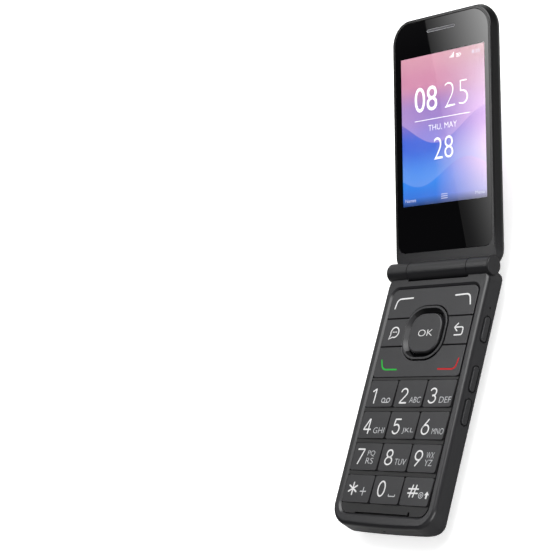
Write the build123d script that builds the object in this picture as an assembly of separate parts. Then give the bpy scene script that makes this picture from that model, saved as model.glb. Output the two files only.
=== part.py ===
from build123d import *
import math
import os

# A flip phone, lying on its back with the lid open at its stop. Millimetres.
# X runs to the phone's right side, Y from the keypad's foot to the hinge, Z up from the back.
# The origin is the middle of the base's length, on its flat back.

# Whole phone, closed
phone_length = 105.0
phone_width = 53.0
phone_thickness = 18.9

# Hinge: one barrel in three stretches, the middle one on the lid
barrel_radius = 3.7
hinge_height = 11.6         # axis above the back
lid_tilt = 20.5             # how far the open lid leans up from the base's plane, in degrees
knuckle_length = 10.15      # each of the base's two stretches
barrel_side = 1.1           # from the end of the barrel to the side of the base
barrel_seam = 0.3           # gap between neighbouring stretches
barrel_gap = 0.35           # round the barrel, between base and lid
hinge_bore = 2.7            # radius of the bore that holds the hinge's inner parts
running_gap = 0.05          # radial gap of a shaft that turns in its bore
cap_thickness = 0.5
cap_inset = 0.2             # how much smaller in radius the end cap is than the barrel
cap_plug = 0.7
cam_shaft = 1.4             # radius of the shaft that the spring hinge turns on
cam_length = 13.0
cam_wall = 0.5
spring_wire = 0.5
spring_turns = 7
pin_depth = 8.0             # how far the hollow pin reaches into the middle barrel
pin_hole = 1.8

# Walls and seams shared by both halves
wall = 1.2
seam = 0.05
slip = 0.15                 # clearance round a piece that drops into an opening
key_travel = 0.3

# Base
base_height = 12.7          # back to the rim round the keys
case_split = 6.9            # seam between rear case and top case
cover_height = 5.7          # top of the battery cover's sides
back_wall = 1.0
slot_width = 0.7            # groove in the rim along the lid's barrel
slot_depth = 0.9
rim_round = 1.6
rim_thickness = 1.5
front_corner = 8.8
rear_corner = 7.0
front_bow = 0.9             # how far the foot bulges
rear_overhang = 0.6         # base behind the hinge axis
cover_start = 34.0          # distances below the hinge axis are positive from here on
# The sides turn under at a crisp edge and slope in to a flat back
edge_height = 6.2
underside_inset = 5.9
underside_round = 6.0
wall_lean = 0.9             # how much the side walls lean in from there to the rim

# Keypad
pocket_side = 4.4           # rim beside the keys
bevel_width = 0.8           # slope round the top of the pocket
bevel_depth = 0.6
pocket_top = 7.2
foot_border = 5.4           # rim at the foot
pocket_corner = 3.4
foot_corner = 4.2
plate_top = 12.35
plate_bottom = 10.5
plate_lip = 0.6             # thickness of the lip that the top case holds down
lip_width = 0.85
key_rows = 4
key_columns = 3
row_gap = 1.8               # between rows of number keys
first_row_gap = 1.25        # between the navigation keys and the first row
last_row_gap = 4.05         # below the last row
key_gap = 0.5               # between neighbouring columns
middle_column = 14.4        # width of the middle keys
key_border = 0.45           # beside the outer columns
left_rise = 0.15            # how much a number key's foot stands up at its left corner
right_rise = 0.6            # and at its right corner
key_corner = 0.8
flange_bottom = 9.85
flange_thickness = 0.6
rocker_flange = 0.25
flange_lap = 0.6
slot_length = 27.4
slot_width = 0.5

# Navigation keys above the number keys
nav_foot = 43.2
nav_top_line = 19.5
nav_foot_line = 30.9
nav_gap = 0.35
nav_height = 12.5
nav_foot_corner = 1.5
ring_centre = 25.8
ring_width = 20.8
ring_length = 21.3
ring_corner = 8.2
ring_height = 12.9
ring_bottom = 10.45
ring_slope = 1.7
pivot_bottom = 9.85
pivot_thickness = 0.25
pivot_border = 0.3
ok_width = 15.6
ok_corner = 5.8
ok_height = 12.75
ok_round = 0.6
soft_edge = 0.25            # rounding on the edges of the keys

# Boards and what they carry
board_bottom = 7.6
board_thickness = 0.8
board_side = 3.8            # board's edge to the side of the base
board_top_end = 8.6
board_foot = 6.5            # board's edge to the foot
dome_film = 0.15
dome_height = 0.2
dome_radius = 2.1
mat_thickness = 0.7
mat_foot = 2.8              # how much sooner the mat ends at the foot
mat_border = 0.3
can_height = 1.5
can_side = 6.5              # cans to the right side
can_clear = 0.7             # cans to the jack
can_middle = 1.5            # the wall between both cans
can_gap = 1.0
can_lead = 2.0              # cans to the ends of their field
battery_side = 9.0          # battery to the side of the base
battery_foot = 9.3          # battery to the foot
battery_thickness = 4.8
battery_lead = 4.0          # battery to the cover's upper seam
bay_wall = 1.0
bay_gap = 0.25
contact_width = 10.0
contact_depth = 2.4
contact_rise = 2.0          # holder above the floor
leaf_width = 0.8
leaf_foot = 2.5             # contact leaves above the floor
leaf_height = 2.0

# Screws
screw_radius = 0.7
screw_head = 1.25
screw_head_height = 0.6
boss_wall = 1.1
case_screw_side = 5.5       # screws to the side of the base
case_screw_lead = 2.0       # upper screws to the cover's upper seam
foot_screw_side = 6.5
foot_screw_foot = 6.1
lid_screw_side = 5.2        # screws to the side of the lid
lid_screw_near = 11.2
lid_screw_far = 6.2          # far screws to the lid's end

# Side keys and sockets
side_key_height = 2.5
side_key_middle = 8.9       # height of the keys' middle above the back
side_key_stand = 0.45
side_key_border = 0.5       # width of the shallow recess round a side key
side_key_recess = 0.4
side_key_starts = (19.3, 38.4, 50.9)
side_key_length = 9.6
side_flange = 0.6
side_key_flange = 0.35      # how much wider the flange is than the key
switch_board = 0.6
pinhole_place = 15.8
pinhole_radius = 0.35
jack_radius = 1.8
jack_length = 12.0
jack_body = 5.4
jack_place = 15.0
jack_middle = 5.2
jack_depth = 6.3            # mouth of the jack below the side face
usb_width = 7.6
usb_height = 2.6
usb_depth = 5.4
usb_recess = 1.5            # mouth of the socket below the side face
usb_skin = 0.35
usb_place = 25.6
speaker_width = 16.0
speaker_length = 11.0
speaker_height = 3.2
speaker_side = 16.5         # middle of the loudspeaker to the right side
speaker_place = 20.0
speaker_hole = 0.55
antenna_border = 2.5        # how much narrower than the battery on each side
antenna_length = 3.2
antenna_thickness = 1.0
mic_size = 3.0
mic_height = 1.0
mic_hole = 0.5

# Lid, in its own frame: distances out from the hinge axis, heights from the axis
lid_step = 0.3              # how much the lid stands back from the base at each side
lid_short = 2.5             # how much sooner the closed lid ends at the foot
lid_near = -0.2
lid_gap = 0.3               # between the rims of base and lid when closed
lid_seam = 2.8              # depth of the inner bezel below its rim
lid_round = 3.2
lid_rim_round = 0.5
lid_corner = 10.0
lid_near_corner = 6.5
lid_skin = 1.0
lid_room_start = 5.3
glass_side = 2.27           # bezel beside the glass
glass_near = 7.53
glass_end = 1.91            # bezel beyond the glass
glass_thickness = 0.85
glass_depth = 0.2           # glass below the bezel's rim
glass_corner_far = 8.0
glass_corner_near = 3.5
ledge_thickness = 0.7
screen_side = 2.33          # black border beside the lit area
screen_far = 13.63          # black border beyond the lit area
screen_near = 25.66
screen_module_side = 1.6
screen_module_near = 4.8
screen_module_far = 4.0
screen_thickness = 1.75
earpiece_end = 6.55         # earpiece to the lid's end
grille_width = 14.3
grille_height = 1.1
earpiece_length = 6.0
earpiece_thickness = 2.6
motor_radius = 4.0
motor_thickness = 2.6
motor_side = 12.2           # middle of the motor to the right side of the lid
motor_end = 7.4
magnet_side = 11.2          # magnet to the left side
magnet_size = 3.0
lid_board_thickness = 0.4
lid_board_near = 14.0
lid_board_end = 11.6
lid_board_side = 2.7

# Outer face of the lid
window_width = 29.4
window_length = 30.1
window_near = 34.0
window_thickness = 0.75
window_corner = 1.2
outer_screen_width = 24.0
outer_screen_length = 26.4
outer_screen_near = 35.6
outer_module_border = 1.6
outer_module_thickness = 1.6
camera_place = 9.1
camera_ring_size = 7.8
camera_ring_band = 0.7
camera_corner = 2.7
camera_stand = 0.1
camera_body = 7.0
camera_depth = 2.9
lens_radius = 2.6

hinge_y = phone_length / 2 - barrel_radius
side_wall = phone_width / 2
base_foot = phone_length - barrel_radius        # hinge axis to the foot
barrel_span = phone_width - 2 * barrel_side     # over both outer stretches
middle_barrel = barrel_span - 2 * (knuckle_length + barrel_seam)
pocket_width = phone_width - 2 * pocket_side
pocket_foot = base_foot - foot_border
key_field = pocket_width - 2 * key_border       # over the three columns
key_height = (pocket_foot - last_row_gap - nav_foot - first_row_gap
              - (key_rows - 1) * row_gap) / key_rows
row_pitch = key_height + row_gap
first_row_foot = nav_foot + first_row_gap + key_height
board_width = phone_width - 2 * board_side
board_foot_end = base_foot - board_foot
mat_end = board_foot_end - mat_foot
battery_width = phone_width - 2 * battery_side
battery_start = cover_start + battery_lead
battery_length = base_foot - battery_foot - battery_start
antenna_width = battery_width - 2 * antenna_border
jack_start = side_wall - jack_depth
usb_start = side_wall - usb_recess
speaker_middle = side_wall - speaker_side
lid_width = phone_width - 2 * lid_step
lid_reach = base_foot - lid_short
glass_width = lid_width - 2 * glass_side
glass_far = lid_reach - glass_end
screen_width = glass_width - 2 * screen_side
screen_length = glass_far - screen_far - screen_near
earpiece_place = lid_reach - earpiece_end
motor_place = lid_reach - motor_end
lid_board_far = lid_reach - lid_board_end
lid_board_width = lid_width - 2 * lid_board_side
lid_outer = hinge_height - phone_thickness      # outer face of the lid, in the lid's frame
lid_rim = hinge_height - base_height - lid_gap  # inner rim of the lid, in the lid's frame
lid_split = lid_rim - lid_seam
barrel_clear = barrel_radius + barrel_gap
lid_place = Pos(0, hinge_y, hinge_height) * Rot(lid_tilt, 0, 0)


def down(distance):
    """The Y of a point that far below the hinge axis."""
    return hinge_y - distance


def block(x0, x1, y0, y1, z0, z1):
    return Pos((x0 + x1) / 2, (y0 + y1) / 2, (z0 + z1) / 2) * Box(x1 - x0, y1 - y0, z1 - z0)


def rod(radius, x0, x1, y=0.0, z=0.0):
    """A round bar along X."""
    return Pos((x0 + x1) / 2, y, z) * Rot(0, 90, 0) * Cylinder(radius, x1 - x0)


def axis_rod(radius, x0, x1):
    return rod(radius, x0, x1, hinge_y, hinge_height)


def post(radius, x, y, z0, z1):
    return Pos(x, y, (z0 + z1) / 2) * Cylinder(radius, z1 - z0)


def plate(outline, z0, z1):
    return extrude(Pos(0, 0, z0) * outline, z1 - z0)


def both_sides(solid):
    return solid + mirror(solid, Plane.YZ)


def soften_top(solid, radius):
    return fillet(solid.faces().sort_by(Axis.Z)[-1].edges(), radius)


def soften_bottom(solid, radius):
    return fillet(solid.faces().sort_by(Axis.Z)[0].edges(), radius)


def rounded_outline(half, y_low, y_high, low_corner, high_corner, bow=0.0):
    """A rectangle with its own corner radius at each end and, if asked, a bulging low end."""
    shoulder = y_low + bow
    sides = Polyline((half, shoulder), (half, y_high), (-half, y_high), (-half, shoulder))
    if bow > 0:
        end = ThreePointArc((-half, shoulder), (0, y_low), (half, shoulder))
    else:
        end = Line((-half, shoulder), (half, shoulder))
    outline = make_face(sides + end)
    outline = fillet(outline.vertices().sort_by(Axis.Y)[:2], low_corner)
    return fillet(outline.vertices().sort_by(Axis.Y)[-2:], high_corner)


# ---- base shells ----

def base_outline(inset=0.0):
    return rounded_outline(phone_width / 2 - inset, down(base_foot) + inset,
                           hinge_y + rear_overhang - inset,
                           front_corner - inset, rear_corner - inset, front_bow)


def lower_block(grow=0.0, lift=0.0, turn=0.0):
    """The sloping underside, from the crisp edge at the sides down to the flat back."""
    z0, z1 = lift, edge_height + lift
    half = phone_width / 2 - grow
    y0, y1 = down(base_foot) + grow, hinge_y + rear_overhang - grow
    run = underside_inset
    across = Polyline((run - half, z0), (half - run, z0), (half, z1), (-half, z1), close=True)
    along = Polyline((y0 + run, z0), (y1 - run, z0), (y1, z1), (y0, z1), close=True)
    slab = extrude(Plane.XZ * make_face(across), phone_length, both=True)
    slab &= extrude(Plane.YZ * make_face(along), phone_width, both=True)
    if turn > 0:
        slopes = [edge for edge in slab.edges() if edge.bounding_box().size.Z > z1 - z0 - 0.1]
        slab = fillet(slopes + slab.edges().group_by(Axis.Z)[0], turn)
    return slab & plate(base_outline(grow), z0, z1)


def wall_at(height):
    """Half the width over the leaning side walls."""
    return side_wall - wall_lean * (height - edge_height) / (base_height - edge_height)


def leaning(outline, z0, z1):
    angle = math.degrees(math.atan2(wall_lean, base_height - edge_height))
    return extrude(Pos(0, 0, z0) * outline, z1 - z0, taper=angle)


def base_block():
    upper = soften_top(leaning(base_outline(), edge_height, base_height), rim_round)
    return lower_block(turn=underside_round) + upper


def base_room():
    """The space inside the base, clear of the hinge."""
    room = leaning(base_outline(wall), edge_height + back_wall, base_height - rim_thickness)
    room += lower_block(wall, back_wall)
    return room - axis_rod(barrel_clear + back_wall, -phone_width, phone_width)


def pocket_outline(inset=0.0):
    return rounded_outline(pocket_width / 2 - inset, down(pocket_foot) + inset,
                           down(pocket_top) - inset, foot_corner - inset, pocket_corner - inset)


def screw_places():
    upper = side_wall - case_screw_side, down(cover_start + case_screw_lead)
    lower = side_wall - foot_screw_side, down(base_foot - foot_screw_foot)
    return [(side * x, y) for x, y in (upper, lower) for side in (-1, 1)]


def screw_shafts(radius, z0, z1):
    shafts = [post(radius, x, y, z0, z1) for x, y in screw_places()]
    return Compound(children=shafts)


screw_seat = back_wall + 2 * slip + battery_thickness
boss_radius = screw_radius + boss_wall
boss_top = flange_bottom - 3 * slip
usb_middle = board_bottom - usb_height / 2
key_seat = wall_at(side_key_middle + side_key_height / 2 + side_key_flange) - wall - slip


def side_key_spans():
    return [(down(start + side_key_length), down(start)) for start in side_key_starts]


def side_bar(y0, y1, x0, x1, grow):
    """A bar with round ends that stands in the right side wall."""
    height = side_key_height + 2 * grow
    length = y1 - y0 + 2 * grow
    ends = RectangleRounded(length, height, height / 2 - 0.01)
    bar = extrude(Plane.YZ * ends, x1 - x0)
    return Pos(x0, (y0 + y1) / 2, side_key_middle) * bar


def socket_cuts():
    """Openings in the left side for the headset jack and the charging socket."""
    jack = rod(jack_radius + 2 * slip, -phone_width, -jack_start, down(jack_place), jack_middle)
    usb = block(-phone_width, -usb_start + usb_depth / 2,
                down(usb_place) - usb_width / 2 - slip, down(usb_place) + usb_width / 2 + slip,
                usb_middle - usb_height / 2 - slip, usb_middle + usb_height / 2 + slip)
    return jack + usb


def top_case():
    case = base_block() & block(-phone_width, phone_width, -phone_length, phone_length,
                                case_split + seam, base_height)
    case -= base_room()
    for x, y in screw_places():
        tower = post(boss_radius, x, y, case_split + seam, boss_top)
        outward = math.copysign(side_wall - wall / 2, x)
        web = block(min(x, outward), max(x, outward), y - boss_radius / 2, y + boss_radius / 2,
                    case_split + seam, boss_top)
        case += tower + (web & base_block())
    case -= screw_shafts(screw_radius, case_split, boss_top - wall / 2)
    case -= plate(pocket_outline(), base_height - 2 * rim_thickness, base_height + 1)
    slope = math.degrees(math.atan2(bevel_width, bevel_depth))
    case -= extrude(Pos(0, 0, base_height) * pocket_outline(-bevel_width), -bevel_depth, taper=slope)
    half_middle = middle_barrel / 2
    knuckle = axis_rod(barrel_radius, half_middle + barrel_seam, barrel_span / 2)
    case += both_sides(knuckle)
    case -= axis_rod(barrel_clear, -half_middle - barrel_seam, half_middle + barrel_seam)
    slot_foot = math.sqrt(barrel_clear ** 2 - (base_height - hinge_height) ** 2) + slot_width
    case -= block(-half_middle - barrel_seam, half_middle + barrel_seam, down(slot_foot), hinge_y,
                  base_height - slot_depth, base_height + 1)
    case -= both_sides(axis_rod(hinge_bore, half_middle, barrel_span / 2 + 1))
    case -= both_sides(axis_rod(barrel_radius - cap_inset + seam, barrel_span / 2, phone_width))
    for y0, y1 in side_key_spans():
        case -= side_bar(y0, y1, side_wall - 2 * wall, side_wall + 1, slip)
        case -= side_bar(y0, y1, wall_at(side_key_middle) - side_key_recess, side_wall + 1, side_key_border)
    case -= rod(pinhole_radius, side_wall - wall, side_wall + 1, down(pinhole_place), side_key_middle)
    case -= Pos(0, down(base_foot - wall), board_bottom + board_thickness + mic_height / 2) * \
        Rot(90, 0, 0) * Cylinder(mic_hole, 4 * wall)
    return case - socket_cuts()


def cover_side(grow=0.0):
    """Everything below the battery cover's seams, a little larger if asked."""
    return block(-phone_width, phone_width, -phone_length, down(cover_start) + grow,
                 -1, cover_height + grow)


def bay_outline(grow=0.0):
    half = battery_width / 2 + bay_gap + grow
    return Pos(0, down(battery_start + battery_length / 2)) * \
        Rectangle(2 * half, battery_length + 2 * (bay_gap + grow))


def rear_case():
    case = base_block() & block(-phone_width, phone_width, -phone_length, phone_length, -1, case_split)
    case -= base_room()
    case -= cover_side(seam)
    floor = plate(base_outline(wall / 2), screw_seat, case_split)
    floor &= block(-phone_width, phone_width, -phone_length, down(cover_start) + wall / 2, 0, base_height)
    bay = plate(bay_outline(bay_wall) - bay_outline(), back_wall + slip, screw_seat)
    case += floor + (bay & lower_block(wall + slip, back_wall))
    case -= screw_shafts(screw_radius + slip, screw_seat - 1, case_split + 1)
    pitch = 4 * speaker_hole
    for column in range(5):
        for row in range(3):
            x = speaker_middle + (column - 2) * pitch
            y = down(speaker_place) + (row - 1) * pitch
            case -= post(speaker_hole, x, y, -1, back_wall + 1)
    contact = block(-contact_width / 2 - slip, contact_width / 2 + slip,
                    down(battery_start) - 1, down(battery_start) + bay_gap + contact_depth + slip,
                    back_wall + slip, case_split + 1)
    case -= contact
    return case - socket_cuts()


def battery_cover():
    cover = base_block() & block(-phone_width, phone_width, -phone_length, down(cover_start), -1, cover_height)
    return cover - base_room()


# ---- keypad ----

def column_spans():
    """Left and right edges of each column of number keys."""
    edge = key_field / 2
    inner = middle_column / 2
    outer = inner + key_gap
    return [(-edge, -outer), (-inner, inner), (outer, edge)]


def row_span(row):
    foot = first_row_foot + row * row_pitch
    return down(foot), down(foot - key_height)


def keypad_plate():
    lip = plate(pocket_outline(-lip_width), plate_bottom, plate_bottom + plate_lip)
    face = plate(pocket_outline(slip), plate_bottom, plate_top)
    face &= block(-phone_width, phone_width, -phone_length, down(nav_foot) - slip, 0, base_height)
    body = lip + face
    body -= plate(nav_outline(-slip), plate_bottom - 1, plate_top + 1)
    for row in range(key_rows):
        y0, y1 = row_span(row)
        opening = Pos(0, (y0 + y1) / 2) * Rectangle(key_field + 2 * slip, y1 - y0 + 2 * slip)
        body -= plate(opening, plate_bottom - 1, plate_top + 1)
    slot_y = down(pocket_foot) + slip
    body -= block(-slot_length / 2, slot_length / 2, slot_y - slot_width, slot_y + slot_width,
                  plate_bottom + plate_lip, plate_top + 1)
    body -= block(slot_length / 2 - 2 * slot_width, slot_length / 2, slot_y, slot_y + 3 * slot_width,
                  plate_bottom + plate_lip, plate_top + 1)
    return body


def tile_side(x, y0, y1, foot_top):
    """The upright side of a number key, higher at its foot."""
    corners = ((y0, flange_bottom), (y1, flange_bottom), (y1, plate_top), (y0, foot_top))
    return Plane.YZ.offset(x) * make_face(Polyline(*corners, close=True))


def number_key(row, column):
    """A tile whose top twists up towards its right lower corner."""
    x0, x1 = column_spans()[column]
    y0, y1 = row_span(row)
    middle = Pos((x0 + x1) / 2, (y0 + y1) / 2)
    sides = [tile_side(x0, y0, y1, plate_top + left_rise), tile_side(x1, y0, y1, plate_top + right_rise)]
    tile = loft(sides, ruled=True)
    tile &= plate(middle * RectangleRounded(x1 - x0, y1 - y0, key_corner), flange_bottom, base_height + 1)
    flange = plate(middle * Rectangle(x1 - x0, y1 - y0 + 2 * flange_lap),
                   flange_bottom, flange_bottom + flange_thickness)
    return tile + flange


def nav_outline(inset=0.0):
    border = slip + inset
    return rounded_outline(pocket_width / 2 - slip - border, down(nav_foot) + inset,
                           down(pocket_top) - slip - border, nav_foot_corner, pocket_corner - slip - border)


def ring_outline(grow=0.0):
    return Pos(0, down(ring_centre)) * \
        RectangleRounded(ring_width + 2 * grow, ring_length + 2 * grow, ring_corner + grow)


def ok_outline(grow=0.0):
    return Pos(0, down(ring_centre)) * \
        RectangleRounded(ok_width + 2 * grow, ok_width + 2 * grow, ok_corner + grow)


def nav_piece(x0, x1, y0, y1, flange_height):
    """The part of the navigation field between four lines, round the ring, with a thin flange."""
    cell = Pos((x0 + x1) / 2, (y0 + y1) / 2) * Rectangle(x1 - x0, y1 - y0)
    top = plate((nav_outline() & cell) - ring_outline(nav_gap), flange_bottom, nav_height)
    top = soften_top(top, soft_edge)
    flange = plate((nav_outline(-flange_lap) & cell) - ring_outline(nav_gap),
                   flange_bottom, flange_bottom + flange_height)
    return top + flange


def nav_ring():
    ring = plate(ring_outline(), ring_bottom, ring_height)
    ring = soften_top(ring, soft_edge)
    ring -= plate(ok_outline(nav_gap), ring_bottom - 1, ring_height + 1)
    bowl = extrude(Pos(0, 0, ring_height) * ok_outline(ring_slope + nav_gap), -ring_slope, taper=50)
    return ring - bowl


def nav_pivot():
    """The flexing frame under the ring that lets it tip both ways."""
    outer = ring_outline(-pivot_border)
    return plate(outer - ok_outline(nav_gap), pivot_bottom, pivot_bottom + pivot_thickness)


def ok_key():
    return soften_top(plate(ok_outline(), flange_bottom, ok_height), ok_round)


# ---- inside the base ----

def key_centres():
    """Where the domes sit: under the number keys, the four nav keys' ends, the ring and its middle."""
    spots = []
    for row in range(key_rows):
        for x0, x1 in column_spans():
            spots.append(((x0 + x1) / 2, sum(row_span(row)) / 2))
    side = (ring_width / 2 + pocket_width / 2) / 2
    for place in (nav_top_line, nav_foot_line):
        outer = (place + (pocket_top if place == nav_top_line else nav_foot)) / 2
        spots += [(-side, down(outer)), (side, down(outer))]
    middle = down(ring_centre)
    spots += [(-side, middle), (side, middle), (0, middle)]
    reach = (ring_width + ok_width) / 4
    spots += [(-reach, middle), (reach, middle), (0, middle - reach), (0, middle + reach)]
    return spots


def stack_outline(width, foot_end):
    """A board's outline, clear of the screw towers."""
    outline = rounded_outline(width / 2, down(foot_end), down(board_top_end), foot_corner, pocket_corner)
    for x, y in screw_places():
        outline -= Pos(x, y) * Circle(boss_radius + slip)
    return outline


def main_board():
    return plate(stack_outline(board_width, board_foot_end), board_bottom, board_bottom + board_thickness)


board_top = board_bottom + board_thickness
domes_top = board_top + dome_film + dome_height
mat_width = board_width - 2 * mat_border
jack_end = jack_length + 1 - jack_start


def dome_sheet():
    sheet = plate(stack_outline(mat_width, mat_end), board_top, board_top + dome_film)
    for x, y in key_centres():
        sheet += post(dome_radius, x, y, board_top + dome_film / 2, domes_top)
    return sheet


def keypad_mat():
    return plate(stack_outline(mat_width, mat_end), domes_top + seam, domes_top + mat_thickness)


def shield_cans():
    y1 = down(board_top_end + can_lead)
    y0 = down(cover_start - can_lead)
    z0 = board_bottom - can_height
    left = block(jack_end + can_clear, can_middle - can_gap / 2, y0, y1, z0, board_bottom)
    right = block(can_middle + can_gap / 2, side_wall - can_side, y0, y1, z0, board_bottom)
    return Compound(children=[left, right])


def battery():
    cell = plate(bay_outline(-bay_gap), back_wall + slip, back_wall + slip + battery_thickness)
    return fillet(cell.edges().filter_by(Axis.Z), 1.0)


def battery_contacts():
    y0 = down(battery_start) + bay_gap
    y1 = y0 + contact_depth
    holder = block(-contact_width / 2, contact_width / 2, y0, y1, back_wall + contact_rise, board_bottom)
    holder -= block(-contact_width / 2, contact_width / 2, y0 - 1, y0 + bay_wall + slip,
                    back_wall + slip + battery_thickness, base_height)
    for side in (-1, 0, 1):
        x = side * contact_width / 3
        leaf = back_wall + leaf_foot
        holder += block(x - leaf_width / 2, x + leaf_width / 2, y0 - bay_gap, y0 + 1, leaf, leaf + leaf_height)
    return holder


def loudspeaker():
    x0 = speaker_middle - speaker_width / 2
    y0 = down(speaker_place) - speaker_length / 2
    body = block(x0, x0 + speaker_width, y0, y0 + speaker_length,
                 back_wall + slip, back_wall + slip + speaker_height)
    return fillet(body.edges().filter_by(Axis.Z), 2.0)


def antenna():
    """A plastic carrier at the foot with the antenna strip round its top and front."""
    y1 = down(battery_start + battery_length + bay_gap + bay_wall + slip)
    y0 = y1 - antenna_length
    half = antenna_width / 2
    top = screw_seat - seam
    shelf = block(-half, half, y0, y1, top - antenna_thickness, top)
    front = block(-half, half, y0, y0 + antenna_thickness, top - 2 * antenna_thickness, top)
    return shelf + front


def usb_socket():
    y = down(usb_place)
    z0 = board_bottom - usb_height
    x0 = -usb_start
    shell = block(x0, x0 + usb_depth, y - usb_width / 2, y + usb_width / 2, z0, board_bottom)
    shell = fillet(shell.edges().filter_by(Axis.X).group_by(Axis.Z)[0], 0.9)
    inner = block(x0 - 1, x0 + usb_depth - usb_skin, y - usb_width / 2 + usb_skin,
                  y + usb_width / 2 - usb_skin, z0 + usb_skin, board_bottom - usb_skin)
    tongue = block(x0 + 0.8, x0 + usb_depth, y - usb_width / 4, y + usb_width / 4,
                   z0 + usb_height / 2, z0 + usb_height / 2 + 0.5)
    return shell - inner + tongue


def headset_jack():
    y = down(jack_place)
    half = jack_body / 2
    body = block(-jack_start, jack_end, y - half, y + half,
                 jack_middle - half, board_bottom)
    return body - rod(jack_radius, -jack_start - 1, -jack_start + jack_length, y, jack_middle)


def microphone():
    y = down(mat_end + 1)
    return block(-mic_size / 2, mic_size / 2, y - mic_size / 2, y, board_top, board_top + mic_height)


def switch_boards():
    """Upright boards behind the side keys, with one switch for each key."""
    x1 = key_seat - side_flange - slip - key_travel
    x0 = x1 - switch_board
    z0 = board_bottom - 0.2
    z1 = flange_bottom - seam
    spans = side_key_spans()
    lower = block(x0, x1, spans[2][0], spans[1][1], z0, z1)
    upper = block(x0, x1, spans[0][0], spans[0][1], z0, z1)
    return Compound(children=[lower, upper])


def side_key(index):
    y0, y1 = side_key_spans()[index]
    key = side_bar(y0, y1, key_seat, wall_at(side_key_middle) + side_key_stand, 0)
    key = fillet(key.faces().sort_by(Axis.X)[-1].edges(), soft_edge)
    flange = side_bar(y0, y1, key_seat - side_flange, key_seat, side_key_flange)
    return key + flange


def case_screws():
    """Four screws, driven in from the battery side."""
    screws = []
    for x, y in screw_places():
        head = post(screw_head, x, y, screw_seat - screw_head_height, screw_seat)
        slot = block(x - screw_head, x + screw_head, y - 0.15, y + 0.15,
                     screw_seat - screw_head_height - 1, screw_seat - screw_head_height / 2)
        screws.append(head + post(screw_radius, x, y, screw_seat, boss_top - wall) - slot)
    return Compound(children=screws)


# ---- hinge ----

def hinge_end_caps():
    end = barrel_span / 2
    disc = axis_rod(barrel_radius - cap_inset, end, end + cap_thickness)
    disc = fillet(disc.faces().sort_by(Axis.X)[-1].edges(), cap_thickness / 2)
    plug = axis_rod(hinge_bore - running_gap, end - cap_plug, end)
    right = disc + plug
    return Compound(children=[right, mirror(right, Plane.YZ)])


plug_end = barrel_span / 2 - cap_plug - running_gap
cam_outer = hinge_bore - running_gap
cam_face = -middle_barrel / 2 + running_gap
cam_end = cam_face + cam_length


def hinge_cam_shaft():
    """Fixed in the left knuckle; the spring hinge turns about it."""
    head = axis_rod(cam_outer, -plug_end, -middle_barrel / 2 - barrel_seam)
    return head + axis_rod(cam_shaft, -middle_barrel / 2 - barrel_seam, cam_end - cam_wall - running_gap)


def hinge_spring_case():
    """The spring hinge's tube, keyed into the lid's barrel."""
    tube = rod(cam_outer, cam_face, cam_end)
    tube -= rod(cam_outer - cam_wall, cam_face + cam_wall, cam_end - cam_wall)
    return lid_place * (tube - rod(cam_shaft + running_gap, cam_face - 1, cam_face + 2 * cam_wall))


def hinge_spring():
    """A coil round the shaft inside the spring hinge's tube."""
    room = cam_outer - cam_wall - cam_shaft
    coil_radius = cam_shaft + room / 2
    length = cam_length - 2 * cam_wall - spring_wire - 4 * running_gap
    path = Helix(length / spring_turns, length, coil_radius)
    start = path @ 0
    section = Plane(origin=start, z_dir=path % 0) * Circle(spring_wire / 2)
    coil = sweep(section, path=path, is_frenet=True)
    x0 = cam_face + cam_wall + spring_wire / 2 + 2 * running_gap
    return lid_place * Pos(x0, 0, 0) * Rot(0, 90, 0) * coil


def hinge_pin():
    """A hollow pin, fixed in the right knuckle, that the lid's barrel turns on."""
    start = middle_barrel / 2 - pin_depth + running_gap
    return axis_rod(cam_outer, start, plug_end) - axis_rod(pin_hole, start - 1, plug_end + 1)


def hinge_flex():
    """The rolled flexible cable inside the hollow pin."""
    start = middle_barrel / 2 - pin_depth + running_gap
    outer = pin_hole - 2 * running_gap
    return axis_rod(outer, start, plug_end) - axis_rod(outer - 0.3, start - 1, plug_end + 1)


# ---- lid, built in its own frame and then tilted ----

def lid_outline(inset=0.0, near=lid_near):
    return rounded_outline(lid_width / 2 - inset, near + inset, lid_reach - inset,
                           lid_near_corner - inset, lid_corner - inset)


def lid_block():
    """A shell with rounded edges whose sides lean in from its seam to its rim."""
    angle = math.degrees(math.atan2(wall_lean, lid_seam))
    rim = extrude(Pos(0, 0, lid_split) * lid_outline(), lid_seam, taper=angle)
    sides = plate(lid_outline(), lid_outer, lid_split) + soften_top(rim, lid_rim_round)
    return sides & soften_bottom(plate(lid_outline(), lid_outer, lid_rim), lid_round)


def lid_room(top):
    """The space inside the lid from its outer skin up to a height."""
    room = plate(lid_outline(wall, lid_room_start - wall), lid_outer + lid_skin, top)
    return soften_bottom(room, lid_round - wall)


def knuckle_room():
    return both_sides(rod(barrel_clear, middle_barrel / 2, phone_width))


def glass_outline(grow=0.0):
    return rounded_outline(glass_width / 2 + grow, glass_near - grow, glass_far + grow,
                           glass_corner_near + grow, glass_corner_far + grow)


glass_top = lid_rim - glass_depth
glass_back = glass_top - glass_thickness
ledge_back = glass_back - seam - ledge_thickness
screen_top = glass_back - seam
module_half = screen_width / 2 + screen_module_side
module_near = screen_near - screen_module_near
module_far = screen_near + screen_length + screen_module_far
window_back = lid_outer + window_thickness
outer_module_half = outer_screen_width / 2 + outer_module_border


def lid_screw_places():
    x = lid_width / 2 - lid_screw_side
    return [(side * x, y) for side in (-1, 1) for y in (lid_screw_near, lid_reach - lid_screw_far)]


def grille_outline(grow=0.0):
    return Pos(0, earpiece_place) * \
        RectangleRounded(grille_width + 2 * grow, grille_height + 2 * grow, grille_height / 2 + grow - 0.01)


def camera_outline(grow=0.0):
    size = camera_ring_size + 2 * grow
    return Pos(0, camera_place) * RectangleRounded(size, size, camera_corner + grow)


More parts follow.
